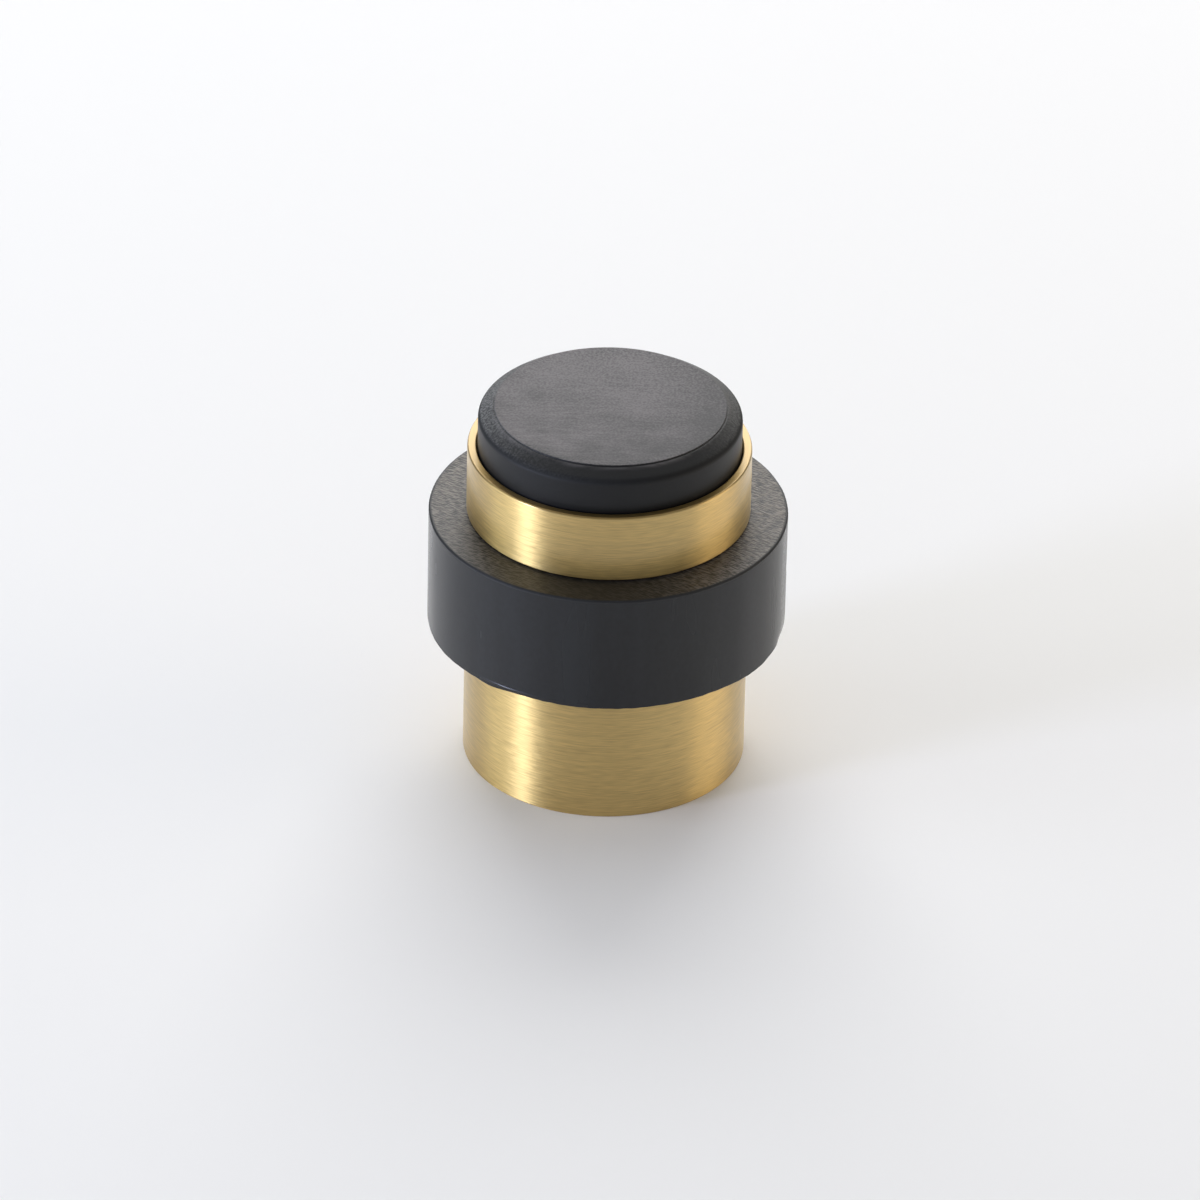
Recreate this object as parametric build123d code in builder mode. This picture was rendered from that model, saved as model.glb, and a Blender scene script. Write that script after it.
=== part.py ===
from build123d import *
import os

# Cylindrical floor door stop, in millimetres.
# The origin is the centre of the foot, on the floor, and +Z runs up the post.
# A turned brass post carries a rubber buffer ring in a groove around it. A rubber plug fills a
# recess in its top and is pulled out to reach the well for the fixing screw.

# Post, turned from solid bar
post_diameter = 32.0
post_height = 39.3
rim_wall = 1.0
recess_floor_thickness = 1.5
edge_break = 0.2
rim_inner_break = 0.15

# Foot and screw well, on the post's axis
foot_relief_diameter = 25.0
foot_relief_depth = 0.6
screw_hole_diameter = 5.5
screw_seat_height = 10.0
screw_well_diameter = 13.0

# Buffer ring, cut from rubber tube and stretched into the groove
ring_diameter = 40.5
ring_height = 14.1
ring_lift = 17.0
groove_depth = 1.2
groove_play = 0.15
ring_seat_clearance = 0.02

# Plug, moulded rubber: a head that shows and a ribbed spigot that grips the recess
plug_rise = 5.1
head_gap = 0.15
head_sink = 1.0
disc_step = 0.18
disc_ledge = 0.15
shoulder_width = 1.65
shoulder_drop = 1.0
shoulder_bulge = 0.1
spigot_gap = 0.5
spigot_lead_in = 0.6
rib_count = 2
rib_ramp = 1.0
rib_clearance = 0.05

# Heights and radii that follow from the sizes above
post_radius = post_diameter / 2
groove_radius = post_radius - groove_depth
groove_width = ring_height + groove_play
recess_radius = post_radius - rim_wall
recess_floor = ring_lift + groove_width + recess_floor_thickness
recess_depth = post_height - recess_floor
head_radius = recess_radius - head_gap
head_foot = post_height - head_sink
disc_top = post_height + plug_rise
shoulder_top = disc_top - disc_step
shoulder_foot = shoulder_top - shoulder_drop
shoulder_inner_radius = head_radius - shoulder_width
disc_radius = shoulder_inner_radius - disc_ledge
spigot_radius = recess_radius - spigot_gap
spigot_length = head_foot - recess_floor
rib_lip_radius = recess_radius - rib_clearance
rib_pitch = (spigot_length - spigot_lead_in) / rib_count
rib_feet = [recess_floor + spigot_lead_in + rib_pitch * i for i in range(rib_count)]

os.makedirs("parts", exist_ok=True)

# Post: bar stock, grooved around its middle, bored from the top and relieved under the foot
with BuildPart() as post:
    with BuildSketch():
        Circle(post_radius)
    extrude(amount=post_height)
    with BuildSketch(Plane.XY.offset(ring_lift)):
        Circle(post_diameter)
        Circle(groove_radius, mode=Mode.SUBTRACT)
    extrude(amount=groove_width, mode=Mode.SUBTRACT)
    outer_edges = post.edges().filter_by(GeomType.CIRCLE).group_by(SortBy.RADIUS)[-1]
    chamfer(outer_edges, edge_break)
    with BuildSketch(Plane.XY.offset(recess_floor)):
        Circle(recess_radius)
    extrude(amount=recess_depth, mode=Mode.SUBTRACT)
    rim_inner_edge = post.edges().group_by(Axis.Z)[-1].sort_by(SortBy.RADIUS)[0]
    chamfer(rim_inner_edge, rim_inner_break)
    with Locations((0, 0, recess_floor)):
        CounterBoreHole(
            radius=screw_hole_diameter / 2,
            counter_bore_radius=screw_well_diameter / 2,
            counter_bore_depth=recess_floor - screw_seat_height,
        )
    with BuildSketch():
        Circle(foot_relief_diameter / 2)
    extrude(amount=foot_relief_depth, mode=Mode.SUBTRACT)
post.part.label = "post"
export_step(post.part, "parts/post.step")

# Buffer ring: plain tube with square-cut ends, standing on the lower wall of the groove
with BuildPart() as buffer_ring:
    with BuildSketch(Plane.XY.offset(ring_lift)):
        Circle(ring_diameter / 2)
        Circle(groove_radius + ring_seat_clearance, mode=Mode.SUBTRACT)
    extrude(amount=ring_height)
buffer_ring.part.label = "buffer_ring"
export_step(buffer_ring.part, "parts/buffer_ring.step")

# Plug: head revolved from its half section, a spigot under it that stands on the recess floor.
# The head's shoulder is a slightly bulging cone between the straight side and the disc's ledge.
# Each rib on the spigot widens upwards to a square lip, so that it goes in easily and then grips.
with BuildPart() as top_plug:
    with BuildSketch(Plane.XY.offset(recess_floor)):
        Circle(spigot_radius)
    extrude(amount=spigot_length)
    chamfer(top_plug.edges().group_by(Axis.Z)[0], spigot_lead_in)
    with BuildSketch(Plane.XZ):
        with BuildLine():
            Polyline(
                (shoulder_inner_radius, shoulder_top),
                (disc_radius, shoulder_top),
                (disc_radius, disc_top),
                (0, disc_top),
                (0, head_foot),
                (head_radius, head_foot),
                (head_radius, shoulder_foot),
            )
            SagittaArc(
                (shoulder_inner_radius, shoulder_top),
                (head_radius, shoulder_foot),
                shoulder_bulge,
            )
        make_face()
    revolve(axis=Axis.Z)
    with Locations(*[(0, 0, foot) for foot in rib_feet]):
        Cone(spigot_radius, rib_lip_radius, rib_ramp, align=(Align.CENTER, Align.CENTER, Align.MIN))
top_plug.part.label = "top_plug"
export_step(top_plug.part, "parts/top_plug.step")
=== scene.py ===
import math

import bpy
import numpy as np
from mathutils import Matrix, Vector


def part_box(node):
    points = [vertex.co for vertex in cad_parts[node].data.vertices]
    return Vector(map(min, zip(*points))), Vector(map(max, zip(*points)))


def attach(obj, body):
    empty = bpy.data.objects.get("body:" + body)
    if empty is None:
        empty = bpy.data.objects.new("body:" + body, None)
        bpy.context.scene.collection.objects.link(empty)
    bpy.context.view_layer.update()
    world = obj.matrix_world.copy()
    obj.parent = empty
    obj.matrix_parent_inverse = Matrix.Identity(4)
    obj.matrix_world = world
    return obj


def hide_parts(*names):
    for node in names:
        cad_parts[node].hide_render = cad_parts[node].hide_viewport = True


# Cylindrical floor door stop: a satin brass post, a cut rubber buffer ring and a moulded rubber plug.
# Every piece is a surface of revolution about the Z axis. Outlines are in millimetres, and the
# finished meshes in metres. Angles run from the front of the stop (-Y), positive to the right (+X).

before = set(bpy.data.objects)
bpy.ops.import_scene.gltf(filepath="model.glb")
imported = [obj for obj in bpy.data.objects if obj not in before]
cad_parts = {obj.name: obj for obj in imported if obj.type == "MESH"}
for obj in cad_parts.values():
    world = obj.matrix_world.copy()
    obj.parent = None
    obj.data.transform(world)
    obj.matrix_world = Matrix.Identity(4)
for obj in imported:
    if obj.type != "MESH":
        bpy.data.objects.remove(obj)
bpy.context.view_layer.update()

MM = 0.001

# Columns of faces around each piece. The ring has the most, for its fine edges.
COLUMNS_POST = 288
COLUMNS_RING = 840
COLUMNS_PLUG = 480

# Sizes read from the frame, and the few inner ones that its boxes don't give
post_low, post_high = (np.array(corner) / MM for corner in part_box("post"))
ring_low, ring_high = (np.array(corner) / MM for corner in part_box("buffer_ring"))
plug_low, plug_high = (np.array(corner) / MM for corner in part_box("top_plug"))
POST_RADIUS = min(-post_low[0], post_high[0])
POST_TOP = post_high[2]
RIM_WALL = 1.0
RECESS_RADIUS = POST_RADIUS - RIM_WALL
RECESS_FLOOR = plug_low[2]
GROOVE_DEPTH = 1.2
GROOVE_PLAY = 0.15
SCREW_SEAT = 10.0
SCREW_WELL_RADIUS = 6.5
SCREW_HOLE_RADIUS = 2.75
FOOT_RELIEF_RADIUS = 12.5
FOOT_RELIEF = 0.6
RING_RADIUS = min(-ring_low[0], ring_high[0])
RING_SEAT_GAP = 0.02
RING_BORE_RADIUS = POST_RADIUS - GROOVE_DEPTH + RING_SEAT_GAP
RING_FOOT, RING_TOP = ring_low[2], ring_high[2]
RING_EDGE = 0.16
PLUG_TOP = plug_high[2]
HEAD_GAP = 0.15
HEAD_SINK = 1.0
HEAD_RADIUS = RECESS_RADIUS - HEAD_GAP
HEAD_FOOT = POST_TOP - HEAD_SINK
DISC_STEP = 0.18
DISC_LEDGE = 0.15
SHOULDER_WIDTH = 1.65
SHOULDER_DROP = 1.0
SPIGOT_GAP = 0.5
SPIGOT_RADIUS = RECESS_RADIUS - SPIGOT_GAP
SPIGOT_LEAD_IN = 0.6
RIB_LIP_RADIUS = min(-plug_low[0], plug_high[0])
RIB_RAMP = 1.0
RIB_COUNT = 2

# Marks that the knife left along the ring's lower edge: angle in degrees, how far the lip hangs
# down in mm, and over how many degrees it fades on its left and on its right
KNIFE_LIPS = ((-66, 0.10, 14, 9), (-38.5, 0.24, 5, 8), (60, 0.18, 12, 3.5))

# Other marks on the ring's side: angle and fades to the left and right in degrees, and depth in mm.
# The slice also has its own height, and the dent its height above the floor.
SLICE_SPREAD, SLICE_DEPTH, SLICE_HEIGHT = (-33, 6, 14), 0.3, 0.5
BURR_SPREAD, BURR_DEPTH = (-34, 8, 12), 0.085
TRIM_SPREAD, TRIM_DEPTH = (78, 5, 9), 0.2
DENT_SPREAD, DENT_DEPTH, DENT_HEIGHT = (90, 2.0, 2.0), 0.2, 24.6
CRUMB_DEPTH = 0.04
NICK_DEPTH = 0.025
SWELL_DEPTH = 0.02

# The ring keeps its true form inside this radius, and takes the marks in full from one mm further out
MARKED_FROM_RADIUS = 19.0


# Outlines and surfaces

def rounded_outline(corners, closed):
    """Points of a polygon whose corners are rounded by arcs tangent to both sides.
    Each corner gives its place, its rounding radius and the largest step of the run that follows.
    The arc at a corner starts radius * tan(turn / 2) before it. A run is divided evenly between
    two points that lie a small margin from its arcs, so that flat faces shade flat."""
    margin, arc_points = 0.04, 7
    places = np.array([corner[:2] for corner in corners], float)
    arcs = []
    for (x, y, radius, step), before, after in zip(corners, np.roll(places, 1, 0), np.roll(places, -1, 0)):
        corner = np.array((x, y))
        if radius == 0:
            arcs.append(corner[None])
            continue
        into = (corner - before) / np.linalg.norm(corner - before)
        away = (after - corner) / np.linalg.norm(after - corner)
        turn = math.atan2(into[0] * away[1] - into[1] * away[0], into @ away)
        start = corner - into * radius * math.tan(abs(turn) / 2)
        inward = np.array((-into[1], into[0])) * math.copysign(radius, turn)
        angle = abs(turn) * np.linspace(0, 1, arc_points)[:, None]
        arcs.append(start + inward * (1 - np.cos(angle)) + into * radius * np.sin(angle))
    points = []
    for k, arc in enumerate(arcs):
        points.append(arc)
        if closed or k + 1 < len(arcs):
            run = arcs[(k + 1) % len(arcs)][0] - arc[-1]
            length = np.linalg.norm(run)
            count = max(2, math.ceil(length / corners[k][3]) + 1)
            if length > 4 * margin:
                points.append(arc[-1] + run * np.linspace(margin, length - margin, count)[:, None] / length)
    return np.concatenate(points)


def along(outline):
    """Distance along the outline from its first point to each of its points, and back to the first."""
    steps = np.linalg.norm(np.diff(outline, axis=0, append=outline[:1]), axis=1)
    return np.concatenate([[0.0], np.cumsum(steps)])


def from_corner(outline, corner):
    """Distance of each outline point from a corner of the outline."""
    return np.linalg.norm(outline - np.array(corner), axis=1)[:, None]


def hump(value, centre, before, after):
    """A smooth bump of height one: exp(-t * t), where t is the distance from the centre
    divided by the fade on that side."""
    return np.exp(-(((value - centre) / np.where(value < centre, before, after)) ** 2))


def ripple(angles, seed, slowest, fastest):
    """Sum of twelve cosines around the axis, with whole numbers of waves between the slowest and the
    fastest and fixed random phases, divided so that it mostly stays between -1 and 1."""
    cosines, usual_peak = 12, 5
    dice = np.random.default_rng(seed)
    waves = dice.integers(slowest, fastest + 1, cosines)[:, None]
    phases = dice.uniform(0, 2 * np.pi, (cosines, 1))
    return np.cos(waves * angles + phases).sum(0) / usual_peak


def turned_piece(name, radius, height, angles, closed, material, attributes):
    """Skins a grid of radii and heights, one row for each outline point and one column for each angle.
    A point lies at radius * (sin angle, -cos angle) and at its height. The columns always join up.
    A closed outline joins its last row to its first, and an open one begins and ends on the axis,
    where the row shrinks to one point."""
    rows, columns = radius.shape
    grid = np.stack([radius * np.sin(angles), -radius * np.cos(angles), height], -1).reshape(-1, 3) * MM
    column = np.arange(columns)
    beside = np.roll(column, -1)
    row = np.arange(rows if closed else rows - 1)[:, None] * columns
    above = (row + columns) % (rows * columns)
    quads = np.stack([row + column, row + beside, above + beside, above + column], -1)
    if closed:
        kept = np.arange(rows * columns)
        faces = quads.reshape(-1, 4).tolist()
    else:
        spare = columns - 1
        kept = np.arange(spare, rows * columns - spare)
        top_row = (rows - 2) * columns - spare
        bottom_fan = np.stack([np.zeros_like(column), beside + 1, column + 1], -1)
        top_fan = np.stack([top_row + column, top_row + beside, np.full(columns, len(kept) - 1)], -1)
        faces = bottom_fan.tolist() + (quads[1:-1].reshape(-1, 4) - spare).tolist() + top_fan.tolist()
    mesh = bpy.data.meshes.new(name)
    mesh.from_pydata(grid[kept], [], faces)
    mesh.shade_smooth()
    for label, values in attributes.items():
        values = values.reshape((rows * columns,) + values.shape[2:])[kept].astype(np.float32)
        kind, field = ("FLOAT_VECTOR", "vector") if values.ndim == 2 else ("FLOAT", "value")
        mesh.attributes.new(label, kind, "POINT").data.foreach_set(field, values.ravel())
    mesh.materials.append(material)
    piece = bpy.data.objects.new(name, mesh)
    bpy.context.scene.collection.objects.link(piece)
    return piece


def unrolled(radius, angles, distance):
    """A coordinate in metres for patterns that follow the turning: two values for the place on a circle
    of the given radius, and the distance along the outline as the third."""
    flat = np.broadcast_arrays(radius * np.sin(angles), -radius * np.cos(angles), distance[:, None])
    return np.stack(flat, -1) * MM


def outline_uv(piece, distance, columns):
    """UV map of a closed turned piece: U runs along the outline and V around the axis."""
    u, v = distance / distance[-1], np.arange(columns + 1) / columns
    low_u, low_v = np.meshgrid(u[:-1], v[:-1], indexing="ij")
    high_u, high_v = np.meshgrid(u[1:], v[1:], indexing="ij")
    corners = np.stack([low_u, low_v, low_u, high_v, high_u, high_v, high_u, low_v], -1)
    piece.data.uv_layers.new(name="outline").uv.foreach_set("vector", corners.astype(np.float32).ravel())


# Materials

def linear(code):
    """An sRGB hex colour as linear red, green, blue and alpha."""
    srgb = np.array([int(code[i:i + 2], 16) for i in (1, 3, 5)]) / 255
    rgb = np.where(srgb <= 0.04045, srgb / 12.92, ((srgb + 0.055) / 1.055) ** 2.4)
    return (*rgb, 1.0)


def add(tree, kind, inputs, output=None, **settings):
    """Adds a node, sets its own settings, and gives each input a value, a hex colour or a link.
    Inputs go by name, among those in use, or by number. Returns the named output, or the first in use."""
    made = tree.nodes.new("ShaderNode" + kind)
    for name, value in settings.items():
        setattr(made, name, value)
    by_name = {socket.name: socket for socket in made.inputs if socket.enabled}
    for key, value in inputs.items():
        socket = made.inputs[key] if isinstance(key, int) else by_name[key]
        if isinstance(value, bpy.types.NodeSocket):
            tree.links.new(value, socket)
        else:
            socket.default_value = linear(value) if isinstance(value, str) else value
    return made.outputs[output] if output else next((s for s in made.outputs if s.enabled), None)


def new_material(name):
    """An empty node material and its tree."""
    material = bpy.data.materials.new(name)
    material.use_nodes = True
    material.node_tree.nodes.clear()
    return material, material.node_tree


def satin_brass():
    """Turned brass bar, brushed around its axis with a fine abrasive and lacquered. The brush lines spread
    each reflection along the outline, from line to line a little more or less, and leave it sharp around
    the axis. The lacquer adds a pale gloss towards the edges. Real lines are under 0.1 mm apart and are
    drawn a little coarser to show."""
    material, tree = new_material("satin_brass")
    brush = add(tree, "Attribute", {}, "Vector", attribute_name="brush")
    faced = add(tree, "Attribute", {}, "Fac", attribute_name="faced")
    # Sizes in mm around, around and along the outline: brush lines, short dashes and flecks
    long_lines, dashes, flecks = (
        add(
            tree,
            "TexNoise",
            {
                "Vector": add(
                    tree, "Mapping", {"Vector": brush, "Scale": Vector(size) * MM}, vector_type="TEXTURE"
                ),
                "Scale": 1.0,
                "Detail": 0.0,
            },
        )
        for size in ((6.0, 6.0, 0.1), (1.6, 1.6, 0.1), (1.0, 1.0, 0.16))
    )
    lines = add(tree, "Mix", {"Factor": 0.55, "A": long_lines, "B": dashes})
    tone = add(tree, "MapRange", {"Value": lines, "From Min": 0.3, "From Max": 0.7})
    bright = add(tree, "Mix", {"Factor": tone, "A": "#bda36a", "B": "#d8bb7a"}, data_type="RGBA")
    # The rim's turned top face gets a darker brass than the brushed side: painted shade
    colour = add(tree, "Mix", {"Factor": faced, "A": bright, "B": "#917948"}, data_type="RGBA")
    stray = add(tree, "Mix", {"Factor": faced, "A": flecks, "B": 0.5})
    wander = add(
        tree,
        "MapRange",
        {"Value": stray, "From Min": 0.3, "From Max": 0.7, "To Min": -0.006, "To Max": 0.006},
    )
    side_gloss = add(
        tree, "MapRange", {"Value": lines, "From Min": 0.3, "From Max": 0.7, "To Min": 0.38, "To Max": 0.45}
    )
    gloss = add(tree, "Mix", {"Factor": faced, "A": side_gloss, "B": 0.34})
    relief = add(tree, "Mix", {"Factor": faced, "A": lines, "B": 0.5})
    surface = add(
        tree,
        "BsdfPrincipled",
        {
            "Base Color": colour,
            "Metallic": 1.0,
            "Roughness": gloss,
            "Anisotropic": 0.87,
            "Anisotropic Rotation": wander,
            "Tangent": add(tree, "Tangent", {}, direction_type="UV_MAP", uv_map="outline"),
            "Normal": add(tree, "Bump", {"Height": relief, "Strength": 0.5, "Distance": 0.006 * MM}),
            "Coat Weight": 0.6,
            "Coat Roughness": 0.22,
        },
    )
    add(tree, "OutputMaterial", {"Surface": surface})
    return material


def cut_rubber():
    """Black extruded rubber tube. Its outer skin is smooth and dark, with soft bands along the tube and a
    waxy film. The knife leaves its ends paler, with short strokes, and the outer edge of the cut stays
    black and dull. Towards the front the ends are painted dark, as shade from the post, and their strokes
    fade out.
    Real strokes are about 0.1 mm wide and are drawn a little coarser to show."""
    material, tree = new_material("cut_rubber")
    place = add(tree, "TexCoord", {}, "Object")
    cut, worn, strokes_clear_of_painted_shade = (
        add(tree, "Attribute", {}, "Fac", attribute_name=name) for name in ("cut", "worn", "strokes_clear_of_painted_shade")
    )
    # Sizes in mm and turns in degrees: knife strokes, strokes across them, bands along the tube, grain
    strokes, crossings, bands, grain = (
        add(
            tree,
            "TexNoise",
            {
                "Vector": add(
                    tree,
                    "Mapping",
                    {"Vector": place, "Scale": Vector(size) * MM, "Rotation": (0, 0, math.radians(turn))},
                    vector_type="TEXTURE",
                ),
                "Scale": 1.0,
                "Detail": 1.0,
            },
        )
        for size, turn in (
            ((1.0, 0.16, 1.0), -32),
            ((0.8, 0.16, 1.0), 14),
            ((2.4, 2.4, 16.0), 0),
            ((0.5, 0.5, 0.7), 0),
        )
    )
    hairs = add(tree, "Mix", {"Factor": 0.35, "A": strokes, "B": crossings})
    fibres = add(tree, "MapRange", {"Value": hairs, "From Min": 0.44, "From Max": 0.575})
    fibres_clear_of_painted_shade = add(tree, "Math", {0: fibres, 1: strokes_clear_of_painted_shade}, operation="MULTIPLY")
    # The cut end's colour goes dark towards the front: painted shade from the post
    face = add(tree, "Mix", {"Factor": fibres_clear_of_painted_shade, "A": "#12110f", "B": "#7a746d"}, data_type="RGBA")
    banded = add(tree, "Mix", {"Factor": 0.4, "A": bands, "B": grain})
    skin_tone = add(tree, "MapRange", {"Value": banded, "From Min": 0.35, "From Max": 0.65})
    skin = add(tree, "Mix", {"Factor": skin_tone, "A": "#0b0c0f", "B": "#121417"}, data_type="RGBA")
    skin_gloss = add(
        tree, "MapRange", {"Value": bands, "From Min": 0.3, "From Max": 0.7, "To Min": 0.2, "To Max": 0.28}
    )
    gloss = add(tree, "Mix", {"Factor": cut, "A": skin_gloss, "B": 0.45})
    skin_relief = add(tree, "Math", {0: banded, 1: 0.08}, operation="MULTIPLY")
    cut_relief = add(tree, "Math", {0: hairs, 1: strokes_clear_of_painted_shade}, operation="MULTIPLY")
    relief = add(tree, "Mix", {"Factor": cut, "A": skin_relief, "B": cut_relief})
    surface = add(
        tree,
        "BsdfPrincipled",
        {
            "Base Color": add(tree, "Mix", {"Factor": cut, "A": skin, "B": face}, data_type="RGBA"),
            "Roughness": add(tree, "Mix", {"Factor": worn, "A": gloss, "B": 0.85}),
            "Specular IOR Level": 0.16,
            "Normal": add(tree, "Bump", {"Height": relief, "Strength": 1.0, "Distance": 0.2 * MM}),
            "Coat Weight": add(tree, "Mix", {"Factor": cut, "A": 0.55, "B": 0.34}),
            "Coat Roughness": 0.5,
        },
    )
    add(tree, "OutputMaterial", {"Surface": surface})
    return material


def bloomed_rubber():
    """Black moulded rubber. Its flat top has a grey, cloudy bloom with a fine grain, its shoulder catches
    pale dust and is dull where it meets the side, and the side stays dark and even."""
    material, tree = new_material("bloomed_rubber")
    place = add(tree, "TexCoord", {}, "Object")
    disc, bloom_and_painted_light, grainy, dusty, dull = (
        add(tree, "Attribute", {}, "Fac", attribute_name=name)
        for name in ("disc", "bloom_and_painted_light", "grainy", "dusty", "dull")
    )
    # Sizes in mm: clouds, wiped streaks, grain and dust specks
    clouds, streaks, grain, specks = (
        add(
            tree,
            "TexNoise",
            {
                "Vector": add(
                    tree, "Mapping", {"Vector": place, "Scale": Vector(size) * MM}, vector_type="TEXTURE"
                ),
                "Scale": 1.0,
                "Detail": 3.0,
            },
        )
        for size in ((7.0, 5.0, 5.0), (3.0, 0.4, 3.0), (0.26, 0.26, 0.26), (0.25, 0.25, 0.25))
    )
    wiped = add(tree, "Mix", {"Factor": 0.3, "A": clouds, "B": streaks})
    cloudy = add(
        tree, "MapRange", {"Value": wiped, "From Min": 0.35, "From Max": 0.65, "To Min": 0.24, "To Max": 0.76}
    )
    stipple = add(
        tree, "MapRange", {"Value": grain, "From Min": 0.3, "From Max": 0.7, "To Min": 0.22, "To Max": 0.78}
    )
    bloom = add(tree, "Mix", {"Factor": grainy, "A": cloudy, "B": stipple})
    # The top is lighter towards the back left and darker at its edge: partly denser bloom, partly painted
    # light and shade
    bloom_with_painted_light = add(tree, "Math", {0: bloom_and_painted_light, 1: 0.3, 2: bloom}, operation="MULTIPLY_ADD")
    bloom_tone = add(tree, "MapRange", {"Value": bloom_with_painted_light, "From Min": 0.42, "From Max": 0.78})
    flat = add(tree, "Mix", {"Factor": bloom_tone, "A": "#1c1b1d", "B": "#6c686a"}, data_type="RGBA")
    mottle = add(tree, "Mix", {"Factor": 0.4, "A": clouds, "B": grain})
    side_tone = add(tree, "MapRange", {"Value": mottle, "From Min": 0.35, "From Max": 0.65})
    side = add(tree, "Mix", {"Factor": side_tone, "A": "#0b0c0e", "B": "#111214"}, data_type="RGBA")
    # On the ledge the disc value lifts the colour part way to the top's grey: a painted highlight
    clean = add(tree, "Mix", {"Factor": disc, "A": side, "B": flat}, data_type="RGBA")
    dust = add(
        tree, "MapRange", {"Value": specks, "From Min": 0.38, "From Max": 0.66, "To Min": 0.2, "To Max": 1.0}
    )
    settled = add(tree, "Math", {0: dust, 1: dusty}, operation="MULTIPLY")
    sandy = add(tree, "Math", {0: grain, 1: grainy}, operation="MULTIPLY")
    disc_gloss = add(
        tree, "MapRange", {"Value": bloom, "From Min": 0.3, "From Max": 0.7, "To Min": 0.5, "To Max": 0.62}
    )
    clean_gloss = add(tree, "Mix", {"Factor": disc, "A": 0.42, "B": disc_gloss})
    surface = add(
        tree,
        "BsdfPrincipled",
        {
            "Base Color": add(tree, "Mix", {"Factor": settled, "A": clean, "B": "#747472"}, data_type="RGBA"),
            "Roughness": add(tree, "Mix", {"Factor": dull, "A": clean_gloss, "B": 0.85}),
            "Specular IOR Level": 0.3,
            "Normal": add(tree, "Bump", {"Height": sandy, "Strength": 0.6, "Distance": 0.06 * MM}),
        },
    )
    add(tree, "OutputMaterial", {"Surface": surface})
    return material


# Pieces

def columns_of(count):
    """Angles of the columns, from the back of the stop all the way around."""
    return np.linspace(-np.pi, np.pi, count, endpoint=False)


def make_post():
    """The post's half section, from the screw hole outwards, up the side and back down the bore,
    turned about the axis."""
    groove_radius = POST_RADIUS - GROOVE_DEPTH
    groove_top = RING_TOP + GROOVE_PLAY
    outline = rounded_outline(
        [
            (SCREW_HOLE_RADIUS, FOOT_RELIEF, 0.1, 3.0),
            (FOOT_RELIEF_RADIUS, FOOT_RELIEF, 0.1, 3.0),
            (FOOT_RELIEF_RADIUS, 0.0, 0.1, 1.0),
            (POST_RADIUS, 0.0, 0.2, 0.7),
            (POST_RADIUS, RING_FOOT, 0.14, 0.6),
            (groove_radius, RING_FOOT, 0.1, 3.0),
            (groove_radius, groove_top, 0.1, 0.6),
            (POST_RADIUS, groove_top, 0.14, 0.7),
            (POST_RADIUS, POST_TOP, 0.22, 0.3),
            (RECESS_RADIUS, POST_TOP, 0.15, 0.7),
            (RECESS_RADIUS, RECESS_FLOOR, 0.15, 1.5),
            (SCREW_WELL_RADIUS, RECESS_FLOOR, 0.2, 3.0),
            (SCREW_WELL_RADIUS, SCREW_SEAT, 0.15, 1.5),
            (SCREW_HOLE_RADIUS, SCREW_SEAT, 0.15, 3.0),
        ],
        closed=True,
    )
    distance = along(outline)
    angles = columns_of(COLUMNS_POST)
    radius = np.repeat(outline[:, :1], COLUMNS_POST, 1)
    height = np.maximum(np.repeat(outline[:, 1:], COLUMNS_POST, 1), 0.0)
    # faced: the rim's top face and the upper part of its roundings, which were turned and not brushed, and
    # whose brass is painted darker as shade
    near_top = np.clip((height - POST_TOP + 0.24) / 0.16, 0, 1)
    faced = np.where(radius > RECESS_RADIUS - 0.01, near_top, 0)
    attributes = {"brush": unrolled(POST_RADIUS, angles, distance[:-1]), "faced": faced}
    piece = turned_piece("brass_post", radius, height, angles, True, satin_brass(), attributes)
    outline_uv(piece, distance, COLUMNS_POST)
    return piece


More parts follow.
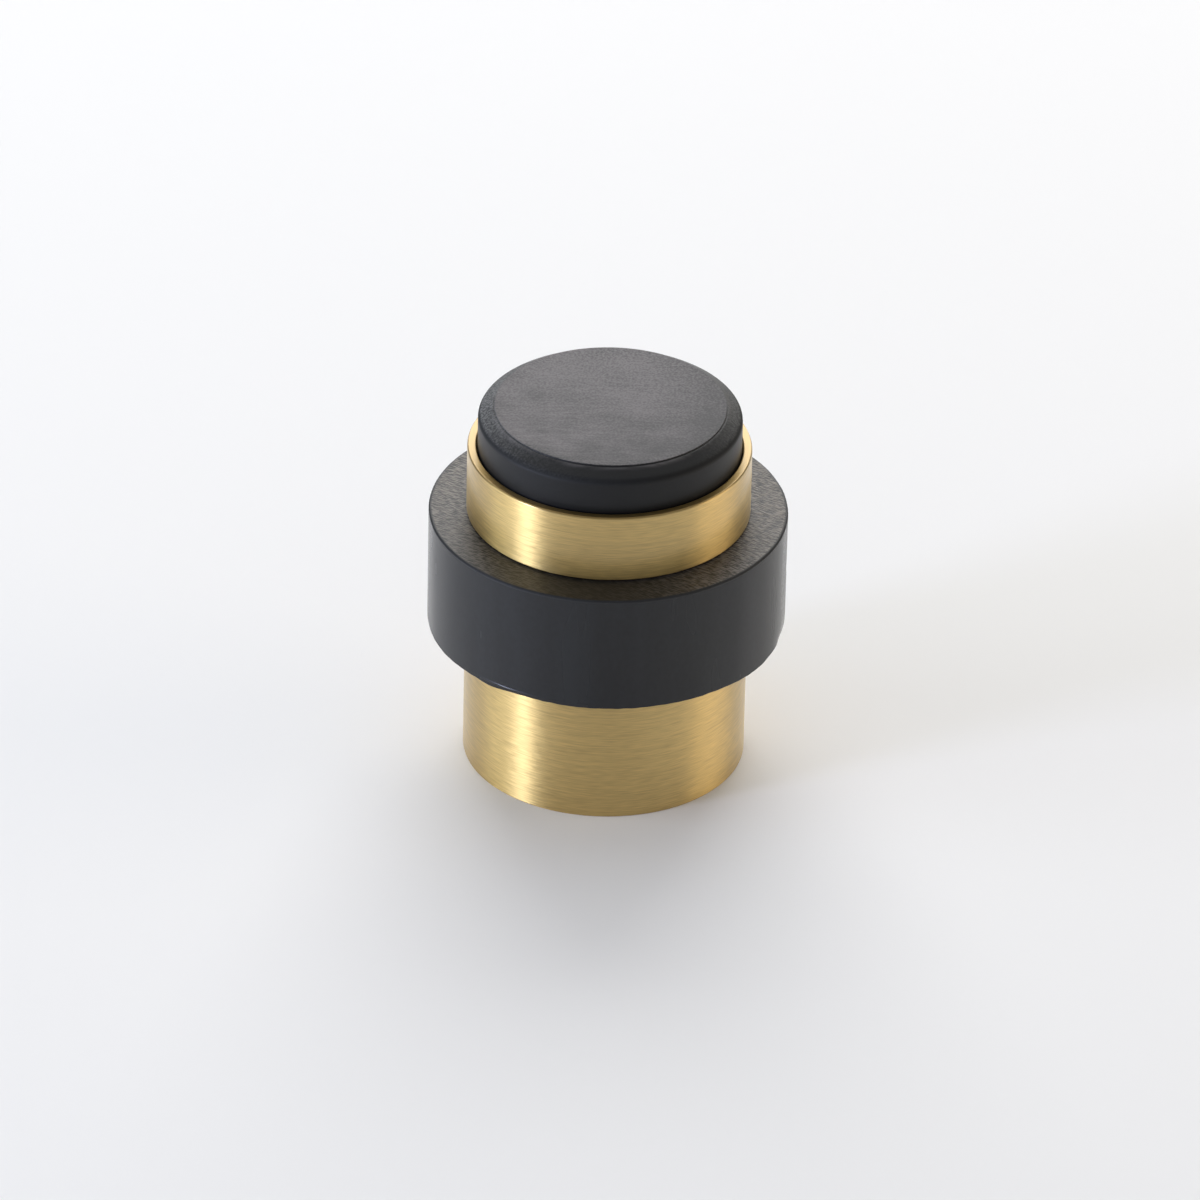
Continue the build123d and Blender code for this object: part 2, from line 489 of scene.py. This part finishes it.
def make_ring():
    """The ring's half section turned about the axis. Its lower outer edge hangs down in a few knife lips.
    The deepest lip is sliced under, with a thin burr above the slice. The upper edge is a little crumbled,
    and the side bulges very slightly in and out."""
    low_corner, top_corner = (RING_RADIUS, RING_FOOT), (RING_RADIUS, RING_TOP)
    burr_height = RING_FOOT + SLICE_HEIGHT
    outline = rounded_outline(
        [
            (RING_BORE_RADIUS, RING_FOOT, 0.1, 0.9),
            (*low_corner, 0.1, 0.07),
            (RING_RADIUS, RING_FOOT + 1.0, 0.0, 0.6),
            (RING_RADIUS, RING_TOP - 0.5, 0.0, 0.07),
            (RING_RADIUS, RING_TOP - RING_EDGE, 0.06, 0.07),
            (RING_RADIUS - RING_EDGE, RING_TOP, 0.06, 0.07),
            (RING_RADIUS - 0.6, RING_TOP, 0.0, 0.4),
            (RING_BORE_RADIUS, RING_TOP, 0.1, 3.0),
        ],
        closed=True,
    )
    angles = columns_of(COLUMNS_RING)
    degrees = np.degrees(angles)
    near_low = np.exp(-((from_corner(outline, low_corner) / 0.4) ** 2))
    near_top = np.exp(-((from_corner(outline, top_corner) / 0.2) ** 2))
    radius, height = outline[:, :1], outline[:, 1:]
    marked = np.clip(radius - MARKED_FROM_RADIUS, 0, 1)
    lips = sum(drop * hump(degrees, angle, left, right) for angle, drop, left, right in KNIFE_LIPS)
    crumbs = CRUMB_DEPTH * np.maximum(ripple(angles, 4, 40, 220), 0)
    nicks = NICK_DEPTH * ripple(angles, 5, 12, 90)
    swell = SWELL_DEPTH * (1 + ripple(angles, 9, 3, 26))
    slice_strength = hump(degrees, *SLICE_SPREAD)
    sliced = SLICE_DEPTH * slice_strength * np.clip((burr_height - height) / SLICE_HEIGHT, 0, 1)
    burr = BURR_DEPTH * hump(degrees, *BURR_SPREAD) * hump(height, burr_height, 0.06, 0.06)
    trimmed = TRIM_DEPTH * hump(degrees, *TRIM_SPREAD) * hump(height, RING_FOOT, 0.9, 0.9)
    dent = DENT_DEPTH * hump(degrees, *DENT_SPREAD) * hump(height, DENT_HEIGHT, 0.7, 0.7)
    # cut: the knife-cut ends. worn: the dull edge above and the slice below. knifed: how much strokes show,
    # falling towards the front, where the ends are painted dark as shade from the post
    cut = np.clip((RING_RADIUS - 0.24 - radius) / 0.1, 0, 1) + 0 * angles
    in_slice = slice_strength * np.clip((burr_height - height) / 0.1, 0, 1) * (radius > RING_RADIUS - 0.5)
    worn = np.maximum(np.exp(-((from_corner(outline, top_corner) / 0.26) ** 4)), in_slice)
    # Towards the front the strokes fade and the cut end is painted dark, as shade from the post
    strokes_clear_of_painted_shade = 1 - 0.9 * hump(degrees, -5, 70, 58) + 0 * cut
    height = height - near_low * (lips + nicks)
    radius = radius + marked * (burr - sliced - trimmed - dent - swell) - near_top * crumbs
    attributes = {"cut": cut, "worn": worn, "strokes_clear_of_painted_shade": strokes_clear_of_painted_shade}
    return turned_piece("rubber_ring", radius, height, angles, True, cut_rubber(), attributes)


def make_plug():
    """The plug's half section, from the axis under the foot, up the ribbed spigot and head to the disc,
    turned about the axis. The shoulder is a cone that runs into the side through a soft rounding."""
    rib_pitch = (HEAD_FOOT - RECESS_FLOOR - SPIGOT_LEAD_IN) / RIB_COUNT
    shoulder_top = PLUG_TOP - DISC_STEP
    shoulder_foot = shoulder_top - SHOULDER_DROP
    inner = HEAD_RADIUS - SHOULDER_WIDTH
    corners = [(0.0, RECESS_FLOOR, 0.0, 3.0), (SPIGOT_RADIUS - SPIGOT_LEAD_IN, RECESS_FLOOR, 0.15, 0.5)]
    for k in range(RIB_COUNT):
        foot = RECESS_FLOOR + SPIGOT_LEAD_IN + rib_pitch * k
        corners += [
            (SPIGOT_RADIUS, foot, 0.1, 0.5),
            (RIB_LIP_RADIUS, foot + RIB_RAMP, 0.06, 0.3),
            (SPIGOT_RADIUS, foot + RIB_RAMP, 0.1, 0.8),
        ]
    corners += [
        (SPIGOT_RADIUS, HEAD_FOOT, 0.1, 0.3),
        (HEAD_RADIUS, HEAD_FOOT, 0.1, 0.5),
        (HEAD_RADIUS, shoulder_foot, 0.9, 0.2),
        (inner, shoulder_top, 0.35, 0.1),
        (inner - DISC_LEDGE, shoulder_top, 0.04, 0.1),
        (inner - DISC_LEDGE, PLUG_TOP, 0.08, 0.5),
        (0.0, PLUG_TOP, 0.0, 1.0),
    ]
    outline = rounded_outline(corners, closed=False)
    angles = columns_of(COLUMNS_PLUG)
    degrees = np.degrees(angles)
    radius = np.repeat(outline[:, :1], COLUMNS_PLUG, 1)
    height = np.repeat(outline[:, 1:], COLUMNS_PLUG, 1)
    # disc: the flat top, and a little of the ledge around it, where a paler ring is a painted highlight
    disc = np.where((radius < inner - 0.05) & (height > PLUG_TOP - 0.05), 1.0, 0.0)
    on_ledge = (height > shoulder_foot) & (height < shoulder_top + 0.02)
    # A paler ring on the ledge below the disc's step: a painted highlight
    ledge_painted_highlight = 0.5 * hump(radius, inner + 0.08, 0.16, 0.2) * on_ledge
    # thick: more bloom towards the back left and less at the edge, partly real bloom and partly painted light
    # and shade, lighter towards the back and darker at the edge. grainy: more grain towards the back right
    to_back_left = radius * (-np.cos(angles) - 0.55 * np.sin(angles)) / HEAD_RADIUS
    to_back_right = radius * (-np.cos(angles) + 0.4 * np.sin(angles)) / HEAD_RADIUS
    # Lighter towards the back, where the back lamps are, and darker at the edge: partly painted light and
    # shade
    bloom_and_painted_light = disc * (0.43 + 0.32 * to_back_left - 0.3 * (radius / inner) ** 6)
    grainy = disc * (0.55 + 0.25 * to_back_right)
    # dusty: the shoulder's left and right, and a trace on the crease below it. dull: dust and crease
    on_shoulder = np.clip((height - shoulder_foot) / 0.2, 0, 1) * (1 - disc)
    sides = hump(degrees, -108, 34, 50) + 0.45 * hump(degrees, 95, 32, 40)
    crease = 0.12 * hump(height, shoulder_foot, 0.12, 0.12) * hump(degrees, -35, 25, 22)
    dusty = np.clip(on_shoulder * sides + crease, 0, 1)
    dull = np.maximum(dusty, hump(height, shoulder_foot, 0.35, 0.35) * (radius > inner))
    attributes = {
        "disc": np.maximum(disc, ledge_painted_highlight),
        "bloom_and_painted_light": bloom_and_painted_light,
        "grainy": grainy,
        "dusty": dusty,
        "dull": dull,
    }
    return turned_piece("rubber_plug", radius, height, angles, False, bloomed_rubber(), attributes)


for piece, body, node, slot in (
    (make_post(), "post", "post", "satin_brass"),
    (make_ring(), "post", "buffer_ring", "ring_rubber"),
    (make_plug(), "plug", "top_plug", "plug_rubber"),
):
    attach(piece, body)
    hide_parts(node)


# Stage: pale floor, soft lamps and a camera at the photograph's angle

def make_floor(reach):
    """A flat square of pale matt board, large enough to fill every view from above."""
    mesh = bpy.data.meshes.new("floor")
    mesh.from_pydata(reach * np.array([(-1, -1, 0), (1, -1, 0), (1, 1, 0), (-1, 1, 0)]), [], [(0, 1, 2, 3)])
    material, tree = new_material("pale_board")
    add(tree, "OutputMaterial", {"Surface": add(tree, "BsdfDiffuse", {"Color": "#f0f0f0"})})
    mesh.materials.append(material)
    floor = bpy.data.objects.new("floor", mesh)
    bpy.context.scene.collection.objects.link(floor)


def make_world(front, back):
    """Room light that changes smoothly from the camera's side to above and behind the stop. Its level
    follows the dot product of the direction with one that points back and up."""
    world = bpy.data.worlds.new("studio")
    bpy.context.scene.world = world
    world.use_nodes = True
    tree = world.node_tree
    tree.nodes.clear()
    direction = add(tree, "TexCoord", {}, "Generated")
    lean = add(tree, "VectorMath", {0: direction, 1: (0, 0.8, 0.6)}, operation="DOT_PRODUCT")
    level = add(
        tree,
        "MapRange",
        {"Value": lean, "From Min": -0.5, "From Max": 1.0, "To Min": front, "To Max": back},
        interpolation_type="SMOOTHSTEP",
    )
    add(tree, "OutputWorld", {"Surface": add(tree, "Background", {"Color": "#ffffff", "Strength": level})})


def softbox(name, azimuth, elevation, distance, width, height, radiance, code):
    """A rectangular lamp that faces the stop. Azimuth runs from the camera's side, positive to the right,
    and a flat lamp of one radiance gives radiance * pi * area in watts."""
    aim = Vector((0, 0, 0.02))
    a, e = math.radians(azimuth), math.radians(elevation)
    back = Vector((math.sin(a) * math.cos(e), -math.cos(a) * math.cos(e), math.sin(e)))
    lamp = bpy.data.lights.new(name, "AREA")
    lamp.shape = "RECTANGLE"
    lamp.size, lamp.size_y = width, height
    lamp.energy = radiance * math.pi * width * height
    lamp.color = linear(code)[:3]
    holder = bpy.data.objects.new(name, lamp)
    holder.location = aim + back * distance
    holder.rotation_euler = back.to_track_quat("Z", "Y").to_euler()
    holder.visible_camera = False
    bpy.context.scene.collection.objects.link(holder)


def make_camera():
    """The camera that the photograph's edges fit: 31.5 degrees above the floor, far off, rolled a little."""
    elevation, roll = math.radians(31.49), math.radians(1.267)
    distance, aim = 1.2867, Vector((-0.000723, 0.0, 0.018887))
    right = Vector((1, 0, 0))
    up = Vector((0, math.sin(elevation), math.cos(elevation)))
    back = Vector((0, -math.cos(elevation), math.sin(elevation)))
    axes = (right * math.cos(roll) + up * math.sin(roll), up * math.cos(roll) - right * math.sin(roll), back)
    data = bpy.data.cameras.new("camera")
    data.sensor_width = 36.0
    data.lens = 341.4
    camera = bpy.data.objects.new("camera", data)
    camera.matrix_world = Matrix.Translation(aim + back * distance) @ Matrix(axes).transposed().to_4x4()
    bpy.context.scene.collection.objects.link(camera)
    bpy.context.scene.camera = camera


make_floor(6.0)
make_world(0.48, 0.26)
# Azimuth and elevation in degrees, distance, width and height in metres, radiance and colour
for lamp in (
    ("back_softbox", 180, 30, 1.2, 1.1, 1.1, 3.4, "#ffffff"),
    ("top_softbox", 180, 72, 1.2, 1.1, 0.7, 1.1, "#ffffff"),
    ("left_softbox", -63, 7, 1.0, 0.2, 0.26, 47.5, "#d4deff"),
    ("left_fill", -86, 12, 1.0, 0.46, 0.38, 4.6, "#ecf7ff"),
    ("right_softbox", 90, 11, 1.0, 0.62, 0.36, 4.0, "#ffecd0"),
):
    softbox(*lamp)
make_camera()
bpy.context.scene.view_settings.view_transform = "Standard"
